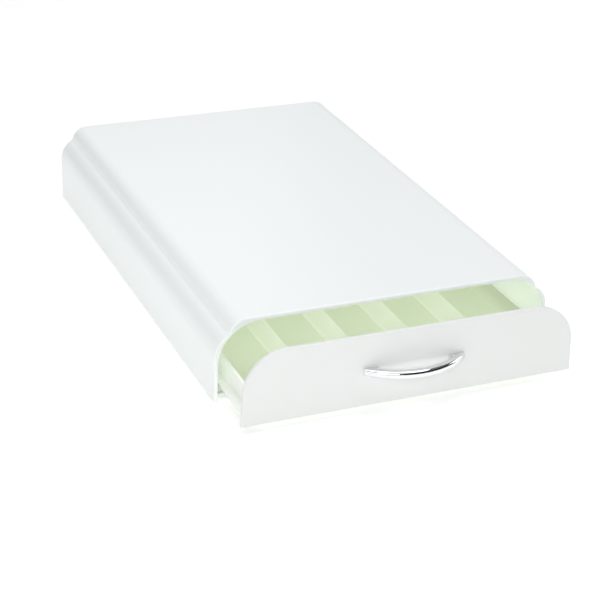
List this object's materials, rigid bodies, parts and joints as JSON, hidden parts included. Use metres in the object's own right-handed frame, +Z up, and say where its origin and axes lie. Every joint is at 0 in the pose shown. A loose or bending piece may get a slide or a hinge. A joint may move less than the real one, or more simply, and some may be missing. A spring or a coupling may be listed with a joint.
{
  "type": "coffee pod storage drawer",
  "caption": "Low white plastic housing with a raised flat top and a pull-out tray of parallel lanes on roller guides, with an inset front and a chrome bow handle.",
  "frame": {"origin": "centre of the footprint at the underside of the feet, with the drawer standing open as stored", "axes": "+X to the right seen from the front, +Y from the drawer front to the back of the housing, +Z up"},
  "size_m": [0.298, 0.521, 0.0723],
  "materials": {
    "shell_plastic": "satin gloss white moulded plastic",
    "front_plastic": "satin white moulded plastic",
    "tray_plastic": "pale green-white moulded plastic",
    "guide_plastic": "white sliding-grade plastic",
    "roller_nylon": "natural nylon",
    "handle_chrome": "bright chrome plate",
    "screw_steel": "zinc-plated steel",
    "axle_steel": "turned steel",
    "foot_rubber": "grey soft rubber"
  },
  "bodies": {
    "housing": {"housing_shell": "shell_plastic", "base_panel": "shell_plastic", "base_screws": "screw_steel", "left_guide_rail": "guide_plastic", "right_guide_rail": "guide_plastic", "rail_screws": "screw_steel", "front_roller_axles": "axle_steel", "front_left_foot": "foot_rubber", "front_right_foot": "foot_rubber", "back_left_foot": "foot_rubber", "back_right_foot": "foot_rubber"},
    "drawer": {"drawer_tray": "tray_plastic", "divider_1": "tray_plastic", "divider_2": "tray_plastic", "divider_3": "tray_plastic", "divider_4": "tray_plastic", "drawer_front": "front_plastic", "front_screws": "screw_steel", "handle_bow": "handle_chrome", "handle_screws": "screw_steel", "left_runner": "guide_plastic", "right_runner": "guide_plastic", "runner_screws": "screw_steel", "rear_roller_axles": "axle_steel"},
    "left_front_roller": {"left_front_roller": "roller_nylon"},
    "right_front_roller": {"right_front_roller": "roller_nylon"},
    "left_rear_roller": {"left_rear_roller": "roller_nylon"},
    "right_rear_roller": {"right_rear_roller": "roller_nylon"}
  },
  "joints": [
    {"name": "drawer_slide", "type": "slide", "parent": "housing", "child": "drawer", "axis": [0, -1, 0], "range_m": [-0.051, 0.265]},
    {"name": "left_front_roller_spin", "type": "hinge", "parent": "housing", "child": "left_front_roller", "pos_m": [-0.1421, -0.1813, 0.0108], "axis": [1, 0, 0], "continuous": true},
    {"name": "right_front_roller_spin", "type": "hinge", "parent": "housing", "child": "right_front_roller", "pos_m": [0.1421, -0.1813, 0.0108], "axis": [1, 0, 0], "continuous": true},
    {"name": "left_rear_roller_spin", "type": "hinge", "parent": "drawer", "child": "left_rear_roller", "pos_m": [-0.1406, 0.1836, 0.0108], "axis": [1, 0, 0], "continuous": true},
    {"name": "right_rear_roller_spin", "type": "hinge", "parent": "drawer", "child": "right_rear_roller", "pos_m": [0.1406, 0.1836, 0.0108], "axis": [1, 0, 0], "continuous": true}
  ]
}
